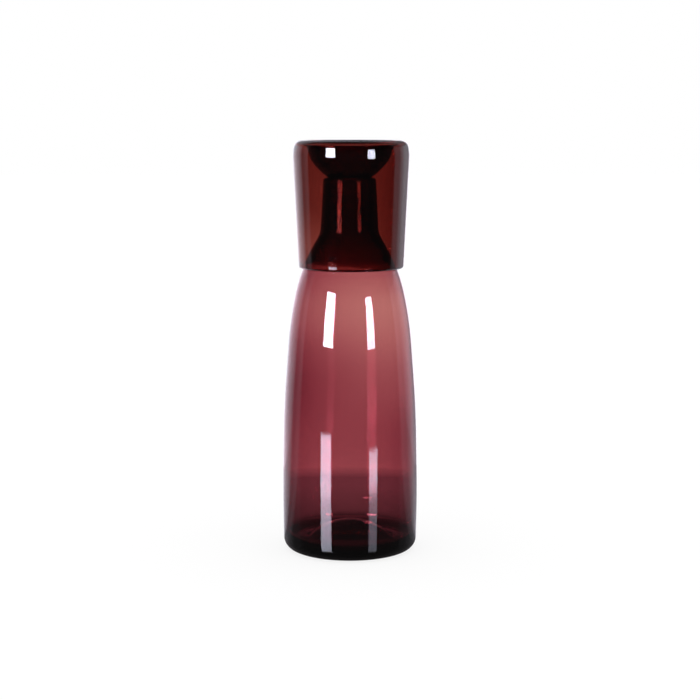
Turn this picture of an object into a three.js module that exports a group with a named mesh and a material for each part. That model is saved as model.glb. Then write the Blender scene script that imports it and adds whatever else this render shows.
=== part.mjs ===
// Glass carafe: a blown bottle whose lid is its own drinking tumbler, turned upside down.
// The tumbler's base is pushed in as a deep bowl, which hangs into the bottle's mouth and rests on its lip.
// Millimetres, +Z up. The origin is the middle of the ring that the bottle stands on.
import * as THREE from 'three';

// Bottle, outside: a faint belly low down, sides that lean in, a sloping shoulder and a slim neck
const BASE_RADIUS = 43.5;
const HEEL_FILLET = 7.5;
const BELLY_RADIUS = 44.4;
const BELLY_HEIGHT = 32;
const BELLY_BLEND = 1150;
const LEAN_RADIUS = 43.5;
const LEAN_HEIGHT = 95;
const LEAN_BLEND = 680;
const SHOULDER_RADIUS = 39.2;
const SHOULDER_HEIGHT = 152;
const SHOULDER_BLEND = 240;
const NAPE_RADIUS = 32.4;
const NAPE_HEIGHT = 184.5;
const NAPE_BLEND = 108;
const NECK_FOOT_RADIUS = 18.8;
const NECK_FOOT_HEIGHT = 209;
const NECK_FOOT_BLEND = 14.5;
const LIP_RADIUS = 17;
const LIP_HEIGHT = 244.5;

// Bottle, thickness of the glass, which is blown thinnest at the shoulder and left thick in heel,
// floor and neck
const BODY_WALL = 1.9;
const SHOULDER_WALL = 1;
const NAPE_WALL = 1.3;
const NECK_FOOT_WALL = 5.6;
const LIP_WALL = 4.2;
const FLOOR_WALL = 7;
const HEEL_FILLET_INSIDE = 11;

// Bottle, kick pushed up into the base
const KICK_HEIGHT = 13;
const KICK_CROWN_RADIUS = 14;
const KICK_CROWN_BLEND = 40;
const KICK_FOOT_RADIUS = 32.5;
const KICK_FOOT_FILLET = 4;
const KICK_WALL = 5.2;
const KICK_FOOT_RADIUS_INSIDE = 28.5;

// Tumbler, as it sits on the bottle: rim down, closed end up
const TUMBLER_HEIGHT = 82.4;
const TUMBLER_RIM_RADIUS = 34.1;
const TUMBLER_BROW_RADIUS = 37.9;
const TUMBLER_BROW_HEIGHT = 74.3;
const TUMBLER_BROW_BLEND = 30;
const TUMBLER_TOP_RADIUS = 36.4;
const TUMBLER_TOP_FILLET = 5;
const TUMBLER_WALL = 3.3;

// Tumbler, bowl pushed into its closed end, and the hollow ring between bowl and wall
const BOWL_DEPTH = 27.4;
const BOWL_CROWN_RADIUS = 10.9;
const BOWL_CROWN_BLEND = 25;
const BOWL_FLANK_RADIUS = 23.3;
const BOWL_FLANK_DEPTH = 15.5;
const BOWL_FLANK_BLEND = 50;
const BOWL_MOUTH_RADIUS = 30.4;
const BOWL_MOUTH_FILLET = 2.4;
const BOWL_WALL = 5;
const RING_RADIUS = 31.6;
const RING_DEPTH = 2.6;
const RING_FILLET = 1.4;

// Distance left between the tumbler's bowl and the lip that carries it
const SEAT_GAP = 0.3;

// Fineness of the facets: sides of a full turn, half the steps of a fillet, spacing of seat points
// and the distance under which two points of an outline are one
const SIDES = 48;
const FILLET_STEPS = 2;
const SEAT_STEP = 0.2;
const SAME_POINT = 1e-6;

// Colours of the plum glass, in one thin wall and in the thicker tumbler
const BOTTLE_COLOUR = 0x8e3d46;
const TUMBLER_COLOUR = 0x5f1e19;
const GLASS_ROUGHNESS = 0.04;

/**
 * Half-section through corners of [radius, height, fillet], from the axis round to the axis.
 * Fillets that are too large for a side they share are drawn in until they fit it.
 */
function halfSection(corners) {
  const points = corners.map(([radius, height]) => new THREE.Vector2(radius, height));
  const sides = points.slice(1).map((point, i) => point.clone().sub(points[i]));
  const headings = sides.map((side) => side.clone().normalize());
  const turns = corners.map((_, i) => turnBetween(headings[i - 1], headings[i]));
  const wanted = corners.map(([, , fillet], i) => fillet * Math.tan(Math.abs(turns[i]) / 2));
  const shares = sides.map((side, i) => Math.min(1, side.length() / (wanted[i] + wanted[i + 1])));

  const path = new THREE.Path().moveTo(points[0].x, points[0].y);
  for (let i = 1; i < corners.length - 1; i += 1) {
    const cut = wanted[i] * Math.min(shares[i - 1], shares[i]);
    addFillet(path, points[i], headings[i - 1], headings[i], turns[i], cut);
  }
  const last = points.at(-1);
  return path.lineTo(last.x, last.y);
}

/** Signed angle from one heading to the next; the two ends of a section have no turn. */
function turnBetween(before, after) {
  if (!before || !after) return 0;
  return Math.atan2(before.cross(after), before.dot(after));
}

/** Runs up to a corner and rounds it with an arc that starts and ends a cut's length from it. */
function addFillet(path, corner, before, after, turn, cut) {
  const radius = cut / Math.tan(Math.abs(turn) / 2);
  const start = corner.clone().addScaledVector(before, -cut);
  const end = corner.clone().addScaledVector(after, cut);
  const inward = new THREE.Vector2(-before.y, before.x).multiplyScalar(Math.sign(turn));
  const centre = start.clone().addScaledVector(inward, radius);
  path.lineTo(start.x, start.y);
  const startAngle = start.sub(centre).angle();
  const endAngle = end.sub(centre).angle();
  path.absarc(centre.x, centre.y, radius, startAngle, endAngle, turn < 0);
}

/** Turns a half-section about the Z axis into a closed, named mesh. */
function revolve(name, section, colour) {
  const points = section.getPoints(FILLET_STEPS);
  const outline = points.filter((point, i) => i === 0 || point.distanceTo(points[i - 1]) > SAME_POINT);
  const geometry = new THREE.LatheGeometry(outline, SIDES);
  geometry.rotateX(Math.PI / 2);
  const material = new THREE.MeshStandardMaterial({
    color: colour,
    roughness: GLASS_ROUGHNESS,
    metalness: 0,
  });
  const mesh = new THREE.Mesh(geometry, material);
  mesh.name = name;
  return mesh;
}

/** Height at which the upper section, let down over the lower one, comes within the gap of it. */
function seatHeight(lower, upper, gap) {
  const lowerPoints = seatPoints(lower);
  const upperPoints = seatPoints(upper);
  let height = -Infinity;
  for (const below of lowerPoints) {
    for (const above of upperPoints) {
      const reach = gap ** 2 - (below.x - above.x) ** 2;
      if (reach > 0) height = Math.max(height, below.y - above.y + Math.sqrt(reach));
    }
  }
  return height;
}

/** Points spaced closely and evenly along a section. */
function seatPoints(section) {
  return section.getSpacedPoints(Math.ceil(section.getLength() / SEAT_STEP));
}

/** Bottle: under the kick, up the outside, over the fire-polished lip and down the inside. */
function bottleSection() {
  const lipRound = LIP_WALL / 2;
  const kickTop = KICK_HEIGHT + KICK_WALL;
  return halfSection([
    [0, KICK_HEIGHT, 0],
    [KICK_CROWN_RADIUS, KICK_HEIGHT, KICK_CROWN_BLEND],
    [KICK_FOOT_RADIUS, 0, KICK_FOOT_FILLET],
    [BASE_RADIUS, 0, HEEL_FILLET],
    [BELLY_RADIUS, BELLY_HEIGHT, BELLY_BLEND],
    [LEAN_RADIUS, LEAN_HEIGHT, LEAN_BLEND],
    [SHOULDER_RADIUS, SHOULDER_HEIGHT, SHOULDER_BLEND],
    [NAPE_RADIUS, NAPE_HEIGHT, NAPE_BLEND],
    [NECK_FOOT_RADIUS, NECK_FOOT_HEIGHT, NECK_FOOT_BLEND],
    [LIP_RADIUS, LIP_HEIGHT, lipRound],
    [LIP_RADIUS - LIP_WALL, LIP_HEIGHT, lipRound],
    [NECK_FOOT_RADIUS - NECK_FOOT_WALL, NECK_FOOT_HEIGHT, NECK_FOOT_BLEND + NECK_FOOT_WALL],
    [NAPE_RADIUS - NAPE_WALL, NAPE_HEIGHT, NAPE_BLEND - NAPE_WALL],
    [SHOULDER_RADIUS - SHOULDER_WALL, SHOULDER_HEIGHT, SHOULDER_BLEND - SHOULDER_WALL],
    [LEAN_RADIUS - BODY_WALL, LEAN_HEIGHT, LEAN_BLEND - BODY_WALL],
    [BELLY_RADIUS - BODY_WALL, BELLY_HEIGHT, BELLY_BLEND - BODY_WALL],
    [BASE_RADIUS - BODY_WALL, FLOOR_WALL, HEEL_FILLET_INSIDE],
    [KICK_FOOT_RADIUS_INSIDE, FLOOR_WALL, KICK_FOOT_FILLET],
    [KICK_CROWN_RADIUS, kickTop, KICK_CROWN_BLEND + KICK_WALL],
    [0, kickTop, 0],
  ]);
}

/** Tumbler: under the bowl, down inside the wall, round the rim, up the outside and into the bowl. */
function tumblerSection() {
  const rimRound = TUMBLER_WALL / 2;
  const ringCeiling = TUMBLER_HEIGHT - RING_DEPTH;
  const bowlUnderside = TUMBLER_HEIGHT - BOWL_DEPTH;
  const bowlFloor = bowlUnderside + BOWL_WALL;
  const floorBlend = BOWL_CROWN_BLEND - BOWL_WALL;
  const floorRadius = BOWL_CROWN_RADIUS * (floorBlend / BOWL_CROWN_BLEND);
  const flankHeight = TUMBLER_HEIGHT - BOWL_FLANK_DEPTH;
  const flankStep = BOWL_WALL * Math.SQRT1_2;
  return halfSection([
    [0, bowlUnderside, 0],
    [BOWL_CROWN_RADIUS, bowlUnderside, BOWL_CROWN_BLEND],
    [BOWL_FLANK_RADIUS, flankHeight, BOWL_FLANK_BLEND],
    [RING_RADIUS, ringCeiling, RING_FILLET],
    [TUMBLER_BROW_RADIUS - TUMBLER_WALL, ringCeiling, RING_FILLET],
    [TUMBLER_RIM_RADIUS - TUMBLER_WALL, 0, rimRound],
    [TUMBLER_RIM_RADIUS, 0, rimRound],
    [TUMBLER_BROW_RADIUS, TUMBLER_BROW_HEIGHT, TUMBLER_BROW_BLEND],
    [TUMBLER_TOP_RADIUS, TUMBLER_HEIGHT, TUMBLER_TOP_FILLET],
    [BOWL_MOUTH_RADIUS, TUMBLER_HEIGHT, BOWL_MOUTH_FILLET],
    [BOWL_FLANK_RADIUS - flankStep, flankHeight + flankStep, BOWL_FLANK_BLEND - BOWL_WALL],
    [floorRadius, bowlFloor, floorBlend],
    [0, bowlFloor, 0],
  ]);
}

const bottle = bottleSection();
const tumbler = tumblerSection();

const carafeBottle = revolve('carafe_bottle', bottle, BOTTLE_COLOUR);
const lidTumbler = revolve('lid_tumbler', tumbler, TUMBLER_COLOUR);
lidTumbler.position.z = seatHeight(bottle, tumbler, SEAT_GAP);

const carafe = new THREE.Group();
carafe.add(carafeBottle, lidTumbler);

export default carafe;
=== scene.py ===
"""Plum glass carafe with its tumbler lid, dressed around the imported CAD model.

Sizes are in millimetres, as a glassworks would write them, and become metres where a mesh, a
light or a pattern is made. +Z is up, and both pieces are turned about the Z axis.
"""

import logging
import math
from dataclasses import dataclass
from enum import Enum
from typing import Any, Mapping, Sequence

import bpy
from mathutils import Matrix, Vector


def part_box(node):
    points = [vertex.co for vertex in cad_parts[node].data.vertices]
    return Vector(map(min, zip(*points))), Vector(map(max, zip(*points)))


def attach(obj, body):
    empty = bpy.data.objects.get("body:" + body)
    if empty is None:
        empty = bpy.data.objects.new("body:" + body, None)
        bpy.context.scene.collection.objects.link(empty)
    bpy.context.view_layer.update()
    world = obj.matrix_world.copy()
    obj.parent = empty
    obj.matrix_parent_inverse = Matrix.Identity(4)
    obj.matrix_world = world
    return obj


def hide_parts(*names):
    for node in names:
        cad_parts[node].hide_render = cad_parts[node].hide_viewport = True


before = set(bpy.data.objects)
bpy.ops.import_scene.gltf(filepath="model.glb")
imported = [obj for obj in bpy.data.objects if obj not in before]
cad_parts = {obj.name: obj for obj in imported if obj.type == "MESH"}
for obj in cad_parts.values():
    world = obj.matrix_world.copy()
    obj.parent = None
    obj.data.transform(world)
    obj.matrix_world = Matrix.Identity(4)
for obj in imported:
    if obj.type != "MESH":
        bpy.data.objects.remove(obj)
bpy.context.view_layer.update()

LOG = logging.getLogger("carafe")
WHITE = "ffffff"

# Metres in a millimetre, and the distance in millimetres under which two points are one
MM = 0.001
SAME_POINT = 0.001

# Shader trees, and what feeds a node's inputs
Tree = bpy.types.NodeTree
Node = bpy.types.Node
Socket = bpy.types.NodeSocket
Values = Mapping[str | int, Any]
Links = Mapping[str | int, Socket]


class Body(Enum):
    """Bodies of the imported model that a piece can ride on."""

    BOTTLE = "bottle"
    TUMBLER = "tumbler"


class Side(Enum):
    """Side of the camera that a softbox stands on, as a sign along X."""

    LEFT = -1
    RIGHT = 1


def linear(hex_colour: str) -> tuple[float, float, float, float]:
    """Turns an sRGB hex colour into linear colour.

    Args:
        hex_colour: colour such as "8e3d46".

    Returns:
        Red, green and blue from 0 to 1, and an alpha of 1.
    """
    channels = []
    # sRGB's own curve: straight near black, a power above
    for start in (0, 2, 4):
        value = int(hex_colour[start:start + 2], 16) / 255
        channels.append(value / 12.92 if value <= 0.04045 else ((value + 0.055) / 1.055) ** 2.4)
    return channels[0], channels[1], channels[2], 1.0


def add_node(
    tree: Tree,
    kind: str,
    values: Values | None = None,
    links: Links | None = None,
    **settings: Any,
) -> Node:
    """Adds a node, sets its properties and inputs, and links what feeds it.

    Args:
        tree: tree that the node joins.
        kind: Blender's name for the node's type.
        values: plain values, by the name or number of the input.
        links: output sockets, by the name or number of the input that they feed.
        **settings: properties of the node.

    Returns:
        The node.
    """
    node = tree.nodes.new(kind)
    for name, setting in settings.items():
        setattr(node, name, setting)
    for key, value in (values or {}).items():
        node.inputs[key].default_value = value
    for key, source in (links or {}).items():
        tree.links.new(source, node.inputs[key])
    return node


@dataclass(frozen=True)
class Corner:
    """Corner of a half-section: its place and the radius of the arc that rounds it."""

    radius: float
    height: float
    fillet: float = 0.0

    def inset(self, wall: float) -> "Corner":
        """Gives the corner on the inside of a wall, with a fillet that is smaller by the wall."""
        return Corner(self.radius - wall, self.height, self.fillet - wall)


def turn_between(before: Vector, after: Vector) -> float:
    """Gives the signed angle from one heading of an outline to the next, in radians."""
    return math.atan2(before.x * after.y - before.y * after.x, before.dot(after))


def ease(value: float) -> float:
    """Gives a smooth step that rises from 0 at 0 to 1 at 1."""
    held = min(1.0, max(0.0, value))
    return held * held * (3 - 2 * held)


@dataclass(frozen=True)
class HalfSection:
    """Half-section of a turned piece, from the axis round to the axis.

    Attributes:
        corners: corners in order, with the glass on the left of the way along them.
        step: longest straight piece of the outline.
        arc_step: largest turn between two points of a fillet, in degrees.
    """

    corners: tuple[Corner, ...]
    step: float = 1.6
    arc_step: float = 7.0

    def outline(self) -> list[Vector]:
        """Rounds the corners and fills in the sides between them.

        Returns:
            Closely spaced points along the section.
        """
        points = [Vector((corner.radius, corner.height)) for corner in self.corners]
        sides = [b - a for a, b in zip(points, points[1:])]
        turns = [0.0, *(turn_between(a, b) for a, b in zip(sides, sides[1:])), 0.0]
        cuts = [c.fillet * math.tan(abs(turn) / 2) for c, turn in zip(self.corners, turns)]
        shares = [min(1.0, side.length / (a + b)) for side, a, b in zip(sides, cuts, cuts[1:])]
        outline = [points[0]]
        for i in range(1, len(points) - 1):
            cut = cuts[i] * min(shares[i - 1], shares[i])
            for point in self._arc(points[i], sides[i - 1].normalized(), turns[i], cut):
                self._run_to(outline, point)
        self._run_to(outline, points[-1])
        return outline

    def _arc(self, corner: Vector, before: Vector, turn: float, cut: float) -> list[Vector]:
        """Rounds one corner.

        Args:
            corner: the corner's place.
            before: heading of the side that comes in.
            turn: angle that the outline turns by at the corner, in radians.
            cut: how far from the corner the arc starts and ends.

        Returns:
            Points of the arc, from its start to its end.
        """
        fillet = cut / math.tan(abs(turn) / 2)
        start = corner - before * cut
        inward = Vector((-before.y, before.x)) * math.copysign(1, turn)
        centre = start + inward * fillet
        first = math.atan2(start.y - centre.y, start.x - centre.x)
        by_turn = abs(math.degrees(turn)) / self.arc_step
        by_length = abs(turn) * fillet / self.step
        steps = max(2, math.ceil(max(by_turn, by_length)))
        angles = [first + turn * k / steps for k in range(steps + 1)]
        return [centre + Vector((math.cos(a), math.sin(a))) * fillet for a in angles]

    def _run_to(self, outline: list[Vector], end: Vector) -> None:
        """Runs straight from the outline's last point to an end, if the two are apart.

        Args:
            outline: points so far, which evenly spaced ones are added to.
            end: where the run ends.
        """
        start = outline[-1]
        length = (end - start).length
        pieces = math.ceil(length / self.step) if length > SAME_POINT else 0
        outline.extend(start.lerp(end, k / pieces) for k in range(1, pieces + 1))


@dataclass(frozen=True)
class Wave:
    """One wave of the unevenness that blowing leaves in a wall.

    Attributes:
        lobes: whole waves in one turn about the axis, or 0 for rings.
        phase: where the wave starts, in degrees.
        depth: how far the surface moves in and out.
        rise: height over which the wave moves on by one whole wave, by default so long that it
            hardly turns.
        onset: height with none of the wave and height with all of it, by default under the foot.
    """

    lobes: int
    phase: float
    depth: float
    rise: float = 4000.0
    onset: tuple[float, float] = (-1.0, 0.0)

    def at(self, angle: float, height: float) -> float:
        """Works out the wave at one place.

        Args:
            angle: the place round the axis, in radians.
            height: the place's height.

        Returns:
            How far the surface moves out.
        """
        turn = self.lobes * angle + math.tau * height / self.rise + math.radians(self.phase)
        share = ease((height - self.onset[0]) / (self.onset[1] - self.onset[0]))
        return self.depth * share * math.sin(turn)


def distances_from_rim(outline: Sequence[Vector], rim: int, inside: int) -> list[float]:
    """Gives each point's distance along the inside from the rim.

    Args:
        outline: points of the half-section.
        rim: number of the point at the rim's edge.
        inside: 1 if the inside comes after the rim in the outline, -1 if it comes before.

    Returns:
        The distances, with 0 for each point of the outside.
    """
    distances = [0.0] * len(outline)
    end = len(outline) if inside > 0 else -1
    for i in range(rim + inside, end, inside):
        distances[i] = distances[i - inside] + (outline[i] - outline[i - inside]).length
    return distances


@dataclass(frozen=True)
class Unevenness:
    """How far a blown piece departs from a turned one.

    Attributes:
        shape: waves that bend the whole wall.
        wall: waves that only the inside follows, so that the wall is thick and thin in places.
        fade: distance from the rim over which the wall's waves come in.
        core: radii between which the waves come in from the still middle.
    """

    shape: tuple[Wave, ...]
    wall: tuple[Wave, ...]
    fade: float
    core: tuple[float, float]

    def step(self, radius: float, height: float, angle: float, from_rim: float) -> float:
        """Gives the radial step at a point of the surface.

        Args:
            radius: the point's distance from the axis.
            height: the point's height.
            angle: the point's place round the axis, in radians.
            from_rim: distance along the inside from the rim, or 0 on the outside.

        Returns:
            How far the point moves out.
        """
        outward = sum(wave.at(angle, height) for wave in self.shape)
        if from_rim > 0:
            share = ease(from_rim / self.fade)
            outward += share * sum(wave.at(angle, height) for wave in self.wall)
        return outward * ease((radius - self.core[0]) / (self.core[1] - self.core[0]))


def faces_between(lower: Sequence[int], upper: Sequence[int]) -> list[tuple[int, ...]]:
    """Joins two neighbouring rings of a turned piece.

    Args:
        lower: numbers of one ring's points, or of its one point on the axis.
        upper: the same for the next ring along the outline.

    Returns:
        Faces with four sides, or with three at the axis.
    """
    sides = max(len(lower), len(upper))
    faces: list[tuple[int, ...]] = []
    for i in range(sides):
        j = (i + 1) % sides
        if len(lower) == 1:
            faces.append((lower[0], upper[j], upper[i]))
        elif len(upper) == 1:
            faces.append((lower[i], lower[j], upper[0]))
        else:
            faces.append((lower[i], lower[j], upper[j], upper[i]))
    return faces


def turned_piece(
    name: str,
    outline: Sequence[Vector],
    from_rim: Sequence[float],
    foot: float,
    uneven: Unevenness,
    sides: int = 192,
) -> bpy.types.Object:
    """Turns a half-section about the Z axis into a closed, smooth mesh.

    Args:
        name: the piece's name.
        outline: points of the half-section, starting and ending on the axis.
        from_rim: each point's distance along the inside from the rim, or 0 on the outside.
        foot: height of the section's zero in the model's frame.
        uneven: unevenness of the blown surface.
        sides: sides of a full turn.

    Returns:
        The piece, linked into the scene.
    """
    vertices: list[tuple[float, float, float]] = []
    rings: list[list[int]] = []
    angles = [math.tau * k / sides for k in range(sides)]
    for point, along in zip(outline, from_rim):
        height = point.y + foot
        first = len(vertices)
        if point.x < SAME_POINT:
            vertices.append((0.0, 0.0, height * MM))
            rings.append([first])
            continue
        for angle in angles:
            reach = (point.x + uneven.step(point.x, height, angle, along)) * MM
            vertices.append((reach * math.cos(angle), reach * math.sin(angle), height * MM))
        rings.append(list(range(first, first + sides)))
    faces = [face for pair in zip(rings, rings[1:]) for face in faces_between(*pair)]

    mesh = bpy.data.meshes.new(name)
    mesh.from_pydata(vertices, [], faces)
    mesh.shade_smooth()
    piece = bpy.data.objects.new(name, mesh)
    bpy.context.scene.collection.objects.link(piece)
    return piece


@dataclass(frozen=True)
class BlownGlass:
    """Soda-lime glass coloured in the melt, blown and fire polished.

    Attributes:
        name: the material's name.
        tint: colour of white light that has passed through the tint's depth of glass.
        tint_depth: thickness of glass that gives the tint.
        skin: colour that each surface adds at any thickness.
        ior: how strongly the glass bends light.
        ripple: width of the soft ripples that the blowing leaves.
        ripple_depth: depth of those ripples.
        scuff: width of the scratches on the edge that the piece stands on.
        scuff_reach: how far the scratches reach from that edge.
        scuff_roughness: roughness of the glass within them.
    """

    name: str
    tint: str
    tint_depth: float
    skin: str = WHITE
    ior: float = 1.5
    ripple: float = 14.0
    ripple_depth: float = 0.006
    scuff: float = 0.6
    scuff_reach: float = 1.2
    scuff_roughness: float = 0.4

    def material(self, stands_at: float) -> bpy.types.Material:
        """Makes the material: a clear surface over a volume that takes colour out of the light.

        Args:
            stands_at: height of the edge that the piece stands on when it is in use.

        Returns:
            The material.
        """
        material = bpy.data.materials.new(self.name)
        material.use_nodes = True
        tree = material.node_tree
        tree.nodes.clear()

        # Absorption in the melt: the eye sees the colour deepen with thickness, so the thin
        # shoulder is rose and the neck, lip and base are almost black.
        losses = [-math.log(value) / (self.tint_depth * MM) for value in linear(self.tint)[:3]]
        density = max(losses)
        volume = add_node(tree, "ShaderNodeVolumeAbsorption", {
            "Color": (*(1 - loss / density for loss in losses), 1.0),
            "Density": density,
        })

        # Fire polish: the flame leaves a skin with no grain, which the eye reads from sharp,
        # slightly swimming reflections.
        place = add_node(tree, "ShaderNodeTexCoord")
        ripple = add_node(
            tree,
            "ShaderNodeTexNoise",
            {"Scale": 1 / (self.ripple * MM), "Detail": 1.0, "Roughness": 0.4},
            {"Vector": place.outputs["Object"]},
        )
        bump = add_node(
            tree,
            "ShaderNodeBump",
            {"Strength": 1.0, "Distance": self.ripple_depth * MM},
            {"Height": ripple.outputs["Fac"]},
        )
        surface = add_node(
            tree,
            "ShaderNodeBsdfPrincipled",
            {"Base Color": linear(self.skin), "IOR": self.ior, "Transmission Weight": 1.0},
            {"Normal": bump.outputs["Normal"], "Roughness": self._scuffs(tree, place, stands_at)},
        )
        add_node(tree, "ShaderNodeOutputMaterial", links={
            "Surface": surface.outputs["BSDF"],
            "Volume": volume.outputs["Volume"],
        })
        return material

    def _scuffs(self, tree: Tree, place: Node, stands_at: float) -> Socket:
        """Adds the wear of tables and sinks: a dull, broken line along the standing edge.

        Args:
            tree: the material's tree.
            place: node that gives the point's place in the piece.
            stands_at: height of the edge that the piece stands on.

        Returns:
            The surface's roughness.
        """
        split = add_node(tree, "ShaderNodeSeparateXYZ", links={"Vector": place.outputs["Object"]})
        above = add_node(
            tree,
            "ShaderNodeMath",
            {1: stands_at * MM},
            {0: split.outputs["Z"]},
            operation="SUBTRACT",
        )
        away = add_node(
            tree, "ShaderNodeMath", links={0: above.outputs["Value"]}, operation="ABSOLUTE"
        )
        near = add_node(
            tree,
            "ShaderNodeMapRange",
            {"From Max": self.scuff_reach * MM, "To Min": self.scuff_roughness, "To Max": 0.0},
            {"Value": away.outputs["Value"]},
        )
        scratches = add_node(
            tree,
            "ShaderNodeTexNoise",
            {"Scale": 1 / (self.scuff * MM), "Detail": 3.0, "Roughness": 0.6},
            {"Vector": place.outputs["Object"]},
        )
        broken = add_node(
            tree,
            "ShaderNodeMath",
            links={0: near.outputs["Result"], 1: scratches.outputs["Fac"]},
            operation="MULTIPLY",
        )
        return broken.outputs["Value"]


@dataclass
class Bottle:
    """Blown bottle: kick, heel, belly, leaning sides, shoulder, neck and rounded lip."""

    # Outside, from the base up
    base_radius: float = 43.5
    heel_fillet: float = 7.5
    belly_radius: float = 44.4
    belly_height: float = 32.0
    belly_blend: float = 1150.0
    lean_radius: float = 43.5
    lean_height: float = 95.0
    lean_blend: float = 680.0
    shoulder_radius: float = 39.2
    shoulder_height: float = 152.0
    shoulder_blend: float = 240.0
    nape_radius: float = 32.4
    nape_height: float = 184.5
    nape_blend: float = 108.0
    neck_foot_radius: float = 18.8
    neck_foot_height: float = 209.0
    neck_foot_blend: float = 14.5
    lip_radius: float = 17.0
    lip_height: float = 244.5

    # Thickness of the glass, which is thinnest at the shoulder
    body_wall: float = 1.9
    shoulder_wall: float = 1.0
    nape_wall: float = 1.3
    neck_foot_wall: float = 5.6
    lip_wall: float = 4.2
    floor_wall: float = 7.0
    heel_fillet_inside: float = 11.0

    # Kick that is pushed up into the base
    kick_height: float = 13.0
    kick_crown_radius: float = 14.0
    kick_crown_blend: float = 40.0
    kick_foot_radius: float = 32.5
    kick_foot_radius_inside: float = 28.5
    kick_foot_fillet: float = 4.0
    kick_wall: float = 5.2

    uneven: Unevenness = Unevenness(
        # Hardly out of round
        shape=(
            Wave(lobes=2, phase=40.0, depth=0.05, rise=310.0),
            Wave(lobes=5, phase=196.0, depth=0.02, rise=-140.0),
        ),
        # Thick at the left from the leaning sides up, a little less so above the shoulder; faint
        # rings all the way; and thin up the nape, where the glass then thickens quickly
        wall=(
            Wave(lobes=1, phase=80.0, depth=0.45, onset=(70.0, 110.0)),
            Wave(lobes=1, phase=260.0, depth=0.13, onset=(130.0, 150.0)),
            Wave(lobes=0, phase=20.0, depth=0.16, rise=170.0),
            Wave(lobes=0, phase=75.0, depth=0.45, onset=(172.0, 182.0)),
            Wave(lobes=0, phase=75.0, depth=1.35, onset=(182.0, 189.5)),
            Wave(lobes=0, phase=255.0, depth=2.95, onset=(189.5, 195.5)),
        ),
        fade=25.0,
        core=(14.0, 40.0),
    )
    glass: BlownGlass = BlownGlass(
        name="plum_blown_glass", tint="924d6a", tint_depth=3.8, skin="ffe7d3"
    )

    def section(self) -> HalfSection:
        """Draws the half-section.

        Returns:
            The section: under the kick, up the outside, over the lip and down the inside.
        """
        belly = Corner(self.belly_radius, self.belly_height, self.belly_blend)
        lean = Corner(self.lean_radius, self.lean_height, self.lean_blend)
        shoulder = Corner(self.shoulder_radius, self.shoulder_height, self.shoulder_blend)
        nape = Corner(self.nape_radius, self.nape_height, self.nape_blend)
        neck_foot = Corner(self.neck_foot_radius, self.neck_foot_height, self.neck_foot_blend)
        neck_foot_inside = Corner(
            self.neck_foot_radius - self.neck_foot_wall,
            self.neck_foot_height,
            self.neck_foot_blend + self.neck_foot_wall,
        )
        lip_round = self.lip_wall / 2
        kick_top = self.kick_height + self.kick_wall
        return HalfSection((
            Corner(0, self.kick_height),
            Corner(self.kick_crown_radius, self.kick_height, self.kick_crown_blend),
            Corner(self.kick_foot_radius, 0, self.kick_foot_fillet),
            Corner(self.base_radius, 0, self.heel_fillet),
            belly,
            lean,
            shoulder,
            nape,
            neck_foot,
            Corner(self.lip_radius, self.lip_height, lip_round),
            Corner(self.lip_radius - self.lip_wall, self.lip_height, lip_round),
            neck_foot_inside,
            nape.inset(self.nape_wall),
            shoulder.inset(self.shoulder_wall),
            lean.inset(self.body_wall),
            belly.inset(self.body_wall),
            Corner(self.base_radius - self.body_wall, self.floor_wall, self.heel_fillet_inside),
            Corner(self.kick_foot_radius_inside, self.floor_wall, self.kick_foot_fillet),
            Corner(self.kick_crown_radius, kick_top, self.kick_crown_blend + self.kick_wall),
            Corner(0, kick_top),
        ))

    def build(self) -> bpy.types.Object:
        """Makes the bottle, dresses it in glass and puts it on its body.

        Returns:
            The bottle.
        """
        outline = self.section().outline()
        lip = max(range(len(outline)), key=lambda i: outline[i].y)
        from_rim = distances_from_rim(outline, lip, inside=1)
        piece = turned_piece("bottle_blown", outline, from_rim, foot=0.0, uneven=self.uneven)
        piece.data.materials.append(self.glass.material(stands_at=0.0))
        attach(piece, Body.BOTTLE.value)
        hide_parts("carafe_bottle")
        return piece


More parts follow.
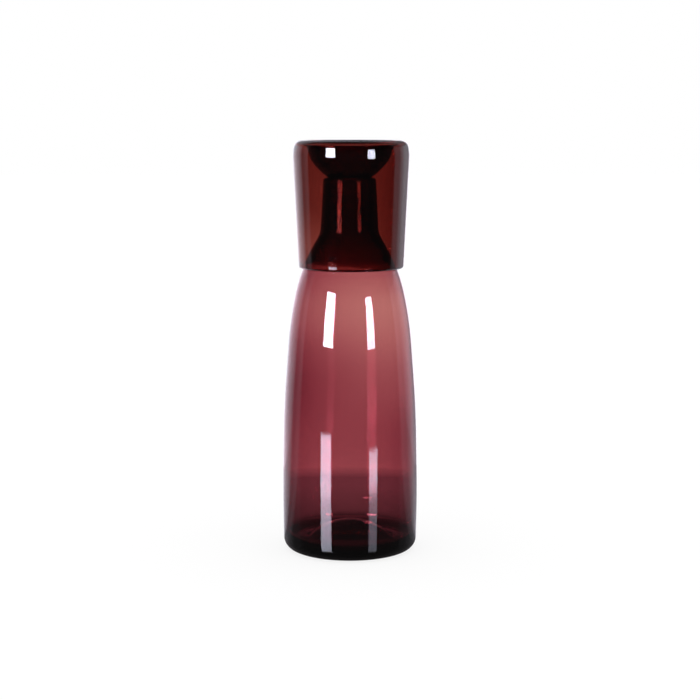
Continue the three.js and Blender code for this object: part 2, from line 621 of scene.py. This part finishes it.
@dataclass
class Tumbler:
    """Drinking tumbler as the lid: rim down, its closed end pushed in as a bowl."""

    # Wall, from the rim up
    height: float = 82.4
    rim_radius: float = 34.1
    brow_radius: float = 37.9
    brow_height: float = 74.3
    brow_blend: float = 30.0
    top_radius: float = 36.4
    top_fillet: float = 5.0
    wall: float = 3.3

    # Bowl, and the hollow ring between bowl and wall
    bowl_depth: float = 27.4
    bowl_crown_radius: float = 10.9
    bowl_crown_blend: float = 25.0
    bowl_flank_radius: float = 23.3
    bowl_flank_depth: float = 15.5
    bowl_flank_blend: float = 50.0
    bowl_mouth_radius: float = 30.4
    bowl_mouth_fillet: float = 2.4
    bowl_wall: float = 5.0
    ring_radius: float = 31.6
    ring_depth: float = 2.6
    ring_fillet: float = 1.4

    uneven: Unevenness = Unevenness(
        # Wall a little to the right of its bowl, and hardly out of round
        shape=(
            Wave(lobes=1, phase=70.0, depth=0.8),
            Wave(lobes=2, phase=120.0, depth=0.04, rise=190.0),
            Wave(lobes=3, phase=300.0, depth=0.02, rise=-120.0),
        ),
        # Thick at the right, more so towards the rim, where the whole wall grows thinner
        wall=(
            Wave(lobes=1, phase=270.0, depth=0.45),
            Wave(lobes=1, phase=270.0, depth=0.4, onset=(232.0, 200.0)),
            Wave(lobes=0, phase=90.0, depth=0.4, onset=(232.0, 200.0)),
        ),
        fade=6.0,
        core=(20.0, 30.0),
    )
    glass: BlownGlass = BlownGlass(
        name="plum_blown_glass_thick", tint="68231c", tint_depth=6.6
    )

    def section(self) -> HalfSection:
        """Draws the half-section.

        Returns:
            The section: under the bowl, down the inside, round the rim, up the outside and into the
            bowl.
        """
        rim_round = self.wall / 2
        ring_ceiling = self.height - self.ring_depth
        underside = self.height - self.bowl_depth
        floor = underside + self.bowl_wall
        floor_blend = self.bowl_crown_blend - self.bowl_wall
        floor_radius = self.bowl_crown_radius * floor_blend / self.bowl_crown_blend
        flank_height = self.height - self.bowl_flank_depth
        flank_step = self.bowl_wall * math.sqrt(0.5)
        return HalfSection((
            Corner(0, underside),
            Corner(self.bowl_crown_radius, underside, self.bowl_crown_blend),
            Corner(self.bowl_flank_radius, flank_height, self.bowl_flank_blend),
            Corner(self.ring_radius, ring_ceiling, self.ring_fillet),
            Corner(self.brow_radius - self.wall, ring_ceiling, self.ring_fillet),
            Corner(self.rim_radius - self.wall, 0, rim_round),
            Corner(self.rim_radius, 0, rim_round),
            Corner(self.brow_radius, self.brow_height, self.brow_blend),
            Corner(self.top_radius, self.height, self.top_fillet),
            Corner(self.bowl_mouth_radius, self.height, self.bowl_mouth_fillet),
            Corner(
                self.bowl_flank_radius - flank_step,
                flank_height + flank_step,
                self.bowl_flank_blend - self.bowl_wall,
            ),
            Corner(floor_radius, floor, floor_blend),
            Corner(0, floor),
        ))

    def build(self) -> bpy.types.Object:
        """Makes the tumbler, dresses it in glass and puts it on its body.

        Returns:
            The tumbler.
        """
        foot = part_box("lid_tumbler")[0].z / MM
        outline = self.section().outline()
        rim = min(range(len(outline)), key=lambda i: outline[i].y)
        from_rim = distances_from_rim(outline, rim, inside=-1)
        piece = turned_piece("tumbler_blown", outline, from_rim, foot=foot, uneven=self.uneven)
        piece.data.materials.append(self.glass.material(stands_at=foot + self.height))
        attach(piece, Body.TUMBLER.value)
        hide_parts("lid_tumbler")
        return piece


@dataclass(frozen=True)
class Softbox:
    """Softbox beside the camera, seen mirrored in the glass as a bright upright window.

    Attributes:
        side: side of the camera that it stands on.
        azimuth: degrees round from the camera to its middle.
        distance: from the carafe's axis.
        width: across.
        bottom: height of its lower edge.
        top: height of its upper edge.
        mirrored: brightness where the glass mirrors it, with the white backdrop at 1.
        by_table: brightness where the glass mirrors the table that mirrors it, for its lower part
            and the rest.
        fade: heights between which the lower part passes into the rest.
        cast: colour of its light where the glass mirrors it.
    """

    side: Side
    azimuth: float
    distance: float
    width: float
    bottom: float
    top: float
    mirrored: float
    by_table: tuple[float, float]
    fade: tuple[float, float]
    cast: str = "e1e2f6"

    def build(self) -> bpy.types.Object:
        """Makes the lamp and stands it upright, facing the carafe's axis.

        Returns:
            The lamp, linked into the scene.
        """
        name = f"softbox_{self.side.name.lower()}"
        lamp = bpy.data.lights.new(name, "AREA")
        lamp.shape = "RECTANGLE"
        lamp.size = self.width * MM
        lamp.size_y = (self.top - self.bottom) * MM
        # Power that gives a face of this size a brightness of 1
        lamp.energy = math.pi * lamp.size * lamp.size_y
        lamp.use_nodes = True
        self._glow(lamp.node_tree)

        softbox = bpy.data.objects.new(name, lamp)
        bpy.context.scene.collection.objects.link(softbox)
        angle = math.radians(self.azimuth)
        middle = (self.bottom + self.top) / 2
        softbox.location = Vector((
            self.side.value * self.distance * math.sin(angle),
            -self.distance * math.cos(angle),
            middle,
        )) * MM
        towards_axis = Vector((-softbox.location.x, -softbox.location.y, 0.0))
        softbox.rotation_euler = towards_axis.to_track_quat("-Z", "Y").to_euler()
        return softbox

    def _glow(self, tree: Tree) -> None:
        """Makes the light: bright where it is mirrored, as plain as the backdrop elsewhere.

        Args:
            tree: the lamp's tree.
        """
        tree.nodes.clear()
        path = add_node(tree, "ShaderNodeLightPath")
        place = add_node(tree, "ShaderNodeNewGeometry")
        split = add_node(tree, "ShaderNodeSeparateXYZ", links={"Vector": place.outputs["Position"]})
        by_table = add_node(
            tree,
            "ShaderNodeMapRange",
            {
                "From Min": self.fade[0] * MM,
                "From Max": self.fade[1] * MM,
                "To Min": self.by_table[0],
                "To Max": self.by_table[1],
            },
            {"Value": split.outputs["Z"]},
            interpolation_type="SMOOTHSTEP",
        )
        # Mirrored once, by the glass, or twice, by the table and the glass
        level = add_node(
            tree,
            "ShaderNodeMapRange",
            {"From Min": 1.0, "From Max": 2.0, "To Min": self.mirrored},
            {"Value": path.outputs["Glossy Depth"], "To Max": by_table.outputs["Result"]},
        )
        plain = add_node(tree, "ShaderNodeEmission", {"Strength": 1.0})
        window = add_node(
            tree,
            "ShaderNodeEmission",
            {"Color": linear(self.cast)},
            {"Strength": level.outputs["Result"]},
        )
        glow = add_node(tree, "ShaderNodeMixShader", links={
            "Fac": path.outputs["Glossy Depth"],
            1: plain.outputs["Emission"],
            2: window.outputs["Emission"],
        })
        add_node(tree, "ShaderNodeOutputLight", links={"Surface": glow.outputs["Shader"]})


@dataclass(frozen=True)
class MirroredStudio:
    """The studio's walls as the glass mirrors them, by the direction that they lie in.

    Attributes:
        left: Y part of the direction and brightness, at each step from front to back on the left:
            the dark room, a pale flat, a gap, and the white backdrop.
        right: the same on the right, where the backdrop ends before a dark flag.
        middle: X parts between which the left side passes into the right side.
        shade: Z parts between which the walls fall into shade.
        shaded: brightness there, as a share.
        surfaces: numbers of surfaces passed, between which light that comes out of the glass counts
            as mirrored within the thick base.
        within: brightness of such light, as a share.
        cast: colour of the walls' light.
    """

    left: tuple[tuple[float, float], ...] = (
        (0.06, 0.05),
        (0.11, 0.45),
        (0.22, 0.42),
        (0.30, 0.28),
        (0.40, 0.25),
        (0.49, 0.8),
        (0.60, 1.1),
        (0.72, 1.3),
        (0.96, 1.7),
    )
    right: tuple[tuple[float, float], ...] = (
        (0.06, 0.05),
        (0.11, 0.47),
        (0.34, 0.45),
        (0.45, 0.7),
        (0.56, 0.9),
        (0.67, 1.0),
        (0.79, 0.8),
        (0.91, 0.44),
        (0.96, 1.7),
    )
    middle: tuple[float, float] = (-0.15, 0.15)
    shade: tuple[float, float] = (0.2, 0.25)
    shaded: float = 0.45
    surfaces: tuple[float, float] = (3.0, 4.0)
    within: float = 0.3
    cast: str = "f4f0fc"

    def strength(self, tree: Tree, direction: Socket) -> Socket:
        """Adds the walls' brightness to a tree.

        Args:
            tree: tree of the world or of a material.
            direction: direction in which the walls are seen.

        Returns:
            The brightness, for an emitter's strength.
        """
        split = add_node(tree, "ShaderNodeSeparateXYZ", links={"Vector": direction})
        side = add_node(
            tree,
            "ShaderNodeMapRange",
            {"From Min": self.middle[0], "From Max": self.middle[1]},
            {"Value": split.outputs["X"]},
        )
        walls = add_node(
            tree,
            "ShaderNodeMix",
            links={
                "Factor": side.outputs["Result"],
                "A": self._wall(tree, split, self.left),
                "B": self._wall(tree, split, self.right),
            },
            data_type="FLOAT",
        )
        shade = add_node(
            tree,
            "ShaderNodeMapRange",
            {
                "From Min": self.shade[0],
                "From Max": self.shade[1],
                "To Min": 1.0,
                "To Max": self.shaded,
            },
            {"Value": split.outputs["Z"]},
        )
        shaded = add_node(
            tree,
            "ShaderNodeMath",
            links={0: walls.outputs["Result"], 1: shade.outputs["Result"]},
            operation="MULTIPLY",
        )
        strength = add_node(
            tree,
            "ShaderNodeMath",
            links={0: shaded.outputs["Value"], 1: self._within_base(tree)},
            operation="MULTIPLY",
        )
        return strength.outputs["Value"]

    def _within_base(self, tree: Tree) -> Socket:
        """Adds the dimming of light that the thick base mirrors within itself.

        Args:
            tree: tree of the world or of a material.

        Returns:
            The share that is left, which is 1 for all other light.
        """
        path = add_node(tree, "ShaderNodeLightPath")
        out_of_glass = add_node(
            tree,
            "ShaderNodeMapRange",
            {"To Min": 1.0, "To Max": self.within},
            {"Value": path.outputs["Is Transmission Ray"]},
        )
        left = add_node(
            tree,
            "ShaderNodeMapRange",
            {"From Min": self.surfaces[0], "From Max": self.surfaces[1], "To Min": 1.0},
            {"Value": path.outputs["Transmission Depth"], "To Max": out_of_glass.outputs["Result"]},
        )
        return left.outputs["Result"]

    @staticmethod
    def _wall(tree: Tree, split: Node, levels: Sequence[tuple[float, float]]) -> Socket:
        """Adds one side's brightness, blended from step to step along the Y part of the direction.

        Args:
            tree: tree of the world or of a material.
            split: node that gives the parts of the direction.
            levels: Y part and brightness at each step.

        Returns:
            The brightness.
        """
        ramp = add_node(tree, "ShaderNodeValToRGB", links={"Fac": split.outputs["Y"]})
        stops = ramp.color_ramp.elements
        stops[0].position, stops[-1].position = levels[0][0], levels[-1][0]
        for y, _ in levels[1:-1]:
            stops.new(y)
        for stop, (_, level) in zip(stops, levels):
            stop.color = (level, level, level, 1.0)
        return ramp.outputs["Color"]


@dataclass(frozen=True)
class SweepAndTable:
    """White paper sweep to the eye and, to the glass, a black gloss table top that lies on it.

    Attributes:
        paper: colour of the paper.
        lit: share of the paper's white that lamps light, so that it takes a shadow.
        glow: brightness of the rest of it.
        edge: how far the table, a square with round corners, reaches from the axis.
        squareness: power that gives its corners, from 2 for a disc upwards.
        soft: half the width of the soft line that its edge shows as.
        top: colour of its top.
        polish: roughness of its top.
        painted_glow: painted glow, an emission that stands in for light falling on the table,
            brighter in its middle than in the rest.
        glow_falloff: distances between which the painted glow's brighter middle passes into the
            rest.
        painted_glow_cast: colour of that painted glow.
        slant: sines of the slants, from a low one to a steep one, between which its gloss gives way
            to the white paper.
        foot_shadow: distances between which the shadow under the foot passes into the lit floor.
        lit_behind: distances behind the axis between which the floor turns light for the outer skin
            of the glass, which mirrors it at its edges.
        lit_share: how light it turns, as a share.
    """

    paper: str = "f7f7f7"
    lit: float = 0.2
    glow: float = 1.035
    edge: float = 245.0
    squareness: float = 4.0
    soft: float = 22.0
    top: str = "000000"
    polish: float = 0.05
    # Painted glow on the table: emission in place of light falling on it, brighter near the foot
    painted_glow: tuple[float, float] = (0.08, 0.02)
    glow_falloff: tuple[float, float] = (100.0, 300.0)
    painted_glow_cast: str = "fff6fa"
    slant: tuple[float, float] = (0.42, 0.62)
    foot_shadow: tuple[float, float] = (50.0, 130.0)
    lit_behind: tuple[float, float] = (0.0, 40.0)
    lit_share: float = 0.65

    def material(self, walls: MirroredStudio) -> bpy.types.Material:
        """Makes the floor's material, which differs for the eye and for what the glass shows.

        Args:
            walls: walls that set how bright the floor beyond the table is where it is mirrored.

        Returns:
            The material.
        """
        material = bpy.data.materials.new("white_sweep_and_black_table")
        material.use_nodes = True
        tree = material.node_tree
        tree.nodes.clear()
        path = add_node(tree, "ShaderNodeLightPath")
        place = add_node(tree, "ShaderNodeNewGeometry")
        split = add_node(tree, "ShaderNodeSeparateXYZ", links={"Vector": place.outputs["Position"]})
        reach = self._reach(tree, split)

        # Paper: evenly white, with only a part of it lit so that a faint shadow shows
        paper = add_node(tree, "ShaderNodeBsdfDiffuse", {"Color": linear(self.paper)})
        white = add_node(
            tree, "ShaderNodeEmission", {"Color": linear(WHITE), "Strength": self.glow}
        )
        sweep = add_node(
            tree,
            "ShaderNodeMixShader",
            {"Fac": self.lit},
            {1: white.outputs["Emission"], 2: paper.outputs["BSDF"]},
        )

        # Floor beyond the table: white through the glass, and like the walls over it in a mirror
        heading = add_node(
            tree,
            "ShaderNodeVectorMath",
            links={0: place.outputs["Position"]},
            operation="NORMALIZE",
        )
        mirrored = add_node(
            tree,
            "ShaderNodeEmission",
            {"Color": linear(walls.cast)},
            {"Strength": walls.strength(tree, heading.outputs["Vector"])},
        )
        beyond = add_node(tree, "ShaderNodeMixShader", links={
            "Fac": path.outputs["Glossy Depth"],
            1: white.outputs["Emission"],
            2: mirrored.outputs["Emission"],
        })
        in_glass = add_node(tree, "ShaderNodeMixShader", links={
            "Fac": self._dark(tree, path, split, reach),
            1: beyond.outputs["Shader"],
            2: self._gloss(tree, reach),
        })
        by_glass = add_node(
            tree,
            "ShaderNodeMath",
            links={0: path.outputs["Is Glossy Ray"], 1: path.outputs["Is Transmission Ray"]},
            operation="MAXIMUM",
        )
        seen = add_node(tree, "ShaderNodeMixShader", links={
            "Fac": by_glass.outputs["Value"],
            1: sweep.outputs["Shader"],
            2: in_glass.outputs["Shader"],
        })
        add_node(tree, "ShaderNodeOutputMaterial", links={"Surface": seen.outputs["Shader"]})
        return material

    def _reach(self, tree: Tree, split: Node) -> Socket:
        """Adds the distance from the axis, measured in squares with round corners.

        Args:
            tree: the material's tree.
            split: node that gives the parts of the point's place.

        Returns:
            The distance, in metres.
        """
        across, deep = (
            add_node(
                tree,
                "ShaderNodeMath",
                {1: self.squareness},
                {0: split.outputs[axis]},
                operation="POWER",
            )
            for axis in "XY"
        )
        both = add_node(
            tree,
            "ShaderNodeMath",
            links={0: across.outputs["Value"], 1: deep.outputs["Value"]},
            operation="ADD",
        )
        reach = add_node(
            tree,
            "ShaderNodeMath",
            {1: 1 / self.squareness},
            {0: both.outputs["Value"]},
            operation="POWER",
        )
        return reach.outputs["Value"]

    def _gloss(self, tree: Tree, reach: Socket) -> Socket:
        """Adds the black table top, which the glass shows as a dark band over the foot, and a
        painted glow on it, brightest near the foot, in place of light that falls on it.

        Args:
            tree: the material's tree.
            reach: distance from the axis.

        Returns:
            The shader.
        """
        # Painted glow: the table emits light, brightest near the foot, in place of light that falls
        # on it
        painted_glow = add_node(
            tree,
            "ShaderNodeMapRange",
            {
                "From Min": self.glow_falloff[0] * MM,
                "From Max": self.glow_falloff[1] * MM,
                "To Min": self.painted_glow[0],
                "To Max": self.painted_glow[1],
            },
            {"Value": reach},
        )
        gloss = add_node(
            tree,
            "ShaderNodeBsdfPrincipled",
            {
                "Base Color": linear(self.top),
                "Roughness": self.polish,
                "Emission Color": linear(self.painted_glow_cast),
            },
            {"Emission Strength": painted_glow.outputs["Result"]},
        )
        return gloss.outputs["BSDF"]

    def _dark(self, tree: Tree, path: Node, split: Node, reach: Socket) -> Socket:
        """Adds the share of the dark table in what the glass shows of the floor.

        Args:
            tree: the material's tree.
            path: node that tells how the light came.
            split: node that gives the parts of the point's place.
            reach: distance from the axis.

        Returns:
            The share.
        """
        dark = add_node(
            tree,
            "ShaderNodeMath",
            links={0: self._table(tree, path, split, reach), 1: self._unlit(tree, reach)},
            operation="MULTIPLY",
        )

        # The outer skin of the glass mirrors a floor that is light again behind the foot
        behind = add_node(
            tree,
            "ShaderNodeMapRange",
            {
                "From Min": self.lit_behind[0] * MM,
                "From Max": self.lit_behind[1] * MM,
                "To Min": 1.0,
                "To Max": 1 - self.lit_share,
            },
            {"Value": split.outputs["Y"]},
        )
        by_skin = add_node(
            tree,
            "ShaderNodeMapRange",
            links={"Value": path.outputs["Transmission Depth"], "To Min": behind.outputs["Result"]},
        )
        share = add_node(
            tree,
            "ShaderNodeMath",
            links={0: dark.outputs["Value"], 1: by_skin.outputs["Result"]},
            operation="MULTIPLY",
        )
        return share.outputs["Value"]

    def _table(self, tree: Tree, path: Node, split: Node, reach: Socket) -> Socket:
        """Adds the table's outline, which runs on to the front and the sides in a mirror.

        Args:
            tree: the material's tree.
            path: node that tells how the light came.
            split: node that gives the parts of the point's place.
            reach: distance from the axis.

        Returns:
            1 on the table and 0 beyond it.
        """
        edge = {
            "From Min": (self.edge - self.soft) * MM,
            "From Max": (self.edge + self.soft) * MM,
            "To Min": 1.0,
            "To Max": 0.0,
        }
        near = add_node(tree, "ShaderNodeMapRange", edge, {"Value": reach})
        before_edge = add_node(tree, "ShaderNodeMapRange", edge, {"Value": split.outputs["Y"]})
        mirrored = add_node(
            tree,
            "ShaderNodeMath",
            links={0: before_edge.outputs["Result"], 1: path.outputs["Glossy Depth"]},
            operation="MULTIPLY",
        )
        table = add_node(
            tree,
            "ShaderNodeMath",
            links={0: near.outputs["Result"], 1: mirrored.outputs["Value"]},
            operation="ADD",
            use_clamp=True,
        )
        return table.outputs["Value"]

    def _unlit(self, tree: Tree, reach: Socket) -> Socket:
        """Adds where the table stays dark: at a low slant, and in the shadow under the foot.

        Args:
            tree: the material's tree.
            reach: distance from the axis.

        Returns:
            1 where it is dark and 0 where the white paper shows.
        """
        # Facing is 1 less the sine of the slant
        slant = add_node(tree, "ShaderNodeLayerWeight", {"Blend": 0.5})
        low = add_node(
            tree,
            "ShaderNodeMapRange",
            {"From Min": 1 - self.slant[1], "From Max": 1 - self.slant[0]},
            {"Value": slant.outputs["Facing"]},
        )
        under_foot = add_node(
            tree,
            "ShaderNodeMapRange",
            {
                "From Min": self.foot_shadow[0] * MM,
                "From Max": self.foot_shadow[1] * MM,
                "To Min": 1.0,
                "To Max": 0.0,
            },
            {"Value": reach},
        )
        unlit = add_node(
            tree,
            "ShaderNodeMath",
            links={0: low.outputs["Result"], 1: under_foot.outputs["Result"]},
            operation="MAXIMUM",
        )
        return unlit.outputs["Value"]


@dataclass
class Studio:
    """White studio with a dark glossy table top, two softboxes and the camera.

    Attributes:
        floor_size: side of the square floor.
        floor_drop: how far the floor lies under the foot, so that the two never share a plane.
        floor: finish of the floor.
        walls: what the glass mirrors beyond the table.
        softboxes: lamps on both sides of the camera.
        lens: the camera's focal length.
        sensor: width of its sensor.
        camera_distance: from the carafe's axis.
        camera_height: above the table.
        camera_pitch: degrees that it looks down by.
        bounces: surfaces that light may pass, enough for the nested walls of glass.
        mirror_bounces: how many of them may mirror it.
    """

    floor_size: float = 16000.0
    floor_drop: float = 0.2
    floor: SweepAndTable = SweepAndTable()
    walls: MirroredStudio = MirroredStudio()
    softboxes: tuple[Softbox, ...] = (
        Softbox(
            side=Side.LEFT,
            azimuth=41.3,
            distance=2000.0,
            width=646.0,
            bottom=188.0,
            top=930.0,
            mirrored=45.0,
            by_table=(58.0, 35.0),
            fade=(325.0, 425.0),
        ),
        Softbox(
            side=Side.RIGHT,
            azimuth=39.3,
            distance=1377.0,
            width=350.0,
            bottom=156.0,
            top=615.0,
            mirrored=25.0,
            by_table=(30.0, 11.0),
            fade=(205.0, 280.0),
        ),
    )
    lens: float = 85.0
    sensor: float = 36.0
    camera_distance: float = 1073.0
    camera_height: float = 278.9
    camera_pitch: float = 7.8
    bounces: int = 28
    mirror_bounces: int = 16

    def build(self) -> None:
        """Makes floor, world, lamps and camera."""
        self._floor()
        self._world()
        for softbox in self.softboxes:
            LOG.info("lamp %s", softbox.build().name)
        self._camera()
        scene = bpy.context.scene
        scene.view_settings.view_transform = "Standard"
        scene.cycles.max_bounces = self.bounces
        scene.cycles.transmission_bounces = self.bounces
        scene.cycles.glossy_bounces = self.mirror_bounces
        scene.cycles.caustics_reflective = False
        scene.cycles.caustics_refractive = False

    def _floor(self) -> None:
        """Makes the floor: white with a soft shadow to the eye, a dark table to the glass."""
        half = self.floor_size / 2 * MM
        mesh = bpy.data.meshes.new("floor")
        mesh.from_pydata(
            [(-half, -half, 0), (half, -half, 0), (half, half, 0), (-half, half, 0)],
            [],
            [(0, 1, 2, 3)],
        )
        floor = bpy.data.objects.new("floor", mesh)
        floor.location.z = -self.floor_drop * MM
        bpy.context.scene.collection.objects.link(floor)
        mesh.materials.append(self.floor.material(self.walls))

    def _world(self) -> None:
        """Makes the world: white all round, but dark in front where the glass mirrors the room."""
        world = bpy.data.worlds.new("white_studio")
        bpy.context.scene.world = world
        world.use_nodes = True
        tree = world.node_tree
        tree.nodes.clear()
        path = add_node(tree, "ShaderNodeLightPath")
        place = add_node(tree, "ShaderNodeTexCoord")
        backdrop = add_node(tree, "ShaderNodeBackground", {"Color": linear(WHITE)})
        walls = add_node(
            tree,
            "ShaderNodeBackground",
            {"Color": linear(self.walls.cast)},
            {"Strength": self.walls.strength(tree, place.outputs["Generated"])},
        )
        seen = add_node(tree, "ShaderNodeMixShader", links={
            "Fac": path.outputs["Glossy Depth"],
            1: backdrop.outputs["Background"],
            2: walls.outputs["Background"],
        })
        add_node(tree, "ShaderNodeOutputWorld", links={"Surface": seen.outputs["Shader"]})

    def _camera(self) -> None:
        """Sets the camera at the photograph's height, distance and pitch."""
        data = bpy.data.cameras.new("camera")
        data.lens = self.lens
        data.sensor_width = self.sensor
        camera = bpy.data.objects.new("camera", data)
        camera.location = Vector((0, -self.camera_distance, self.camera_height)) * MM
        camera.rotation_euler = (math.radians(90 - self.camera_pitch), 0, 0)
        bpy.context.scene.collection.objects.link(camera)
        bpy.context.scene.camera = camera


def main() -> None:
    """Builds the studio and both pieces of glass, and reports them."""
    logging.basicConfig(level=logging.INFO, format="%(name)s: %(message)s")
    Studio().build()
    for part in (Bottle(), Tumbler()):
        piece = part.build()
        LOG.info("piece %s: %d faces", piece.name, len(piece.data.polygons))


if __name__ == "__main__":
    main()
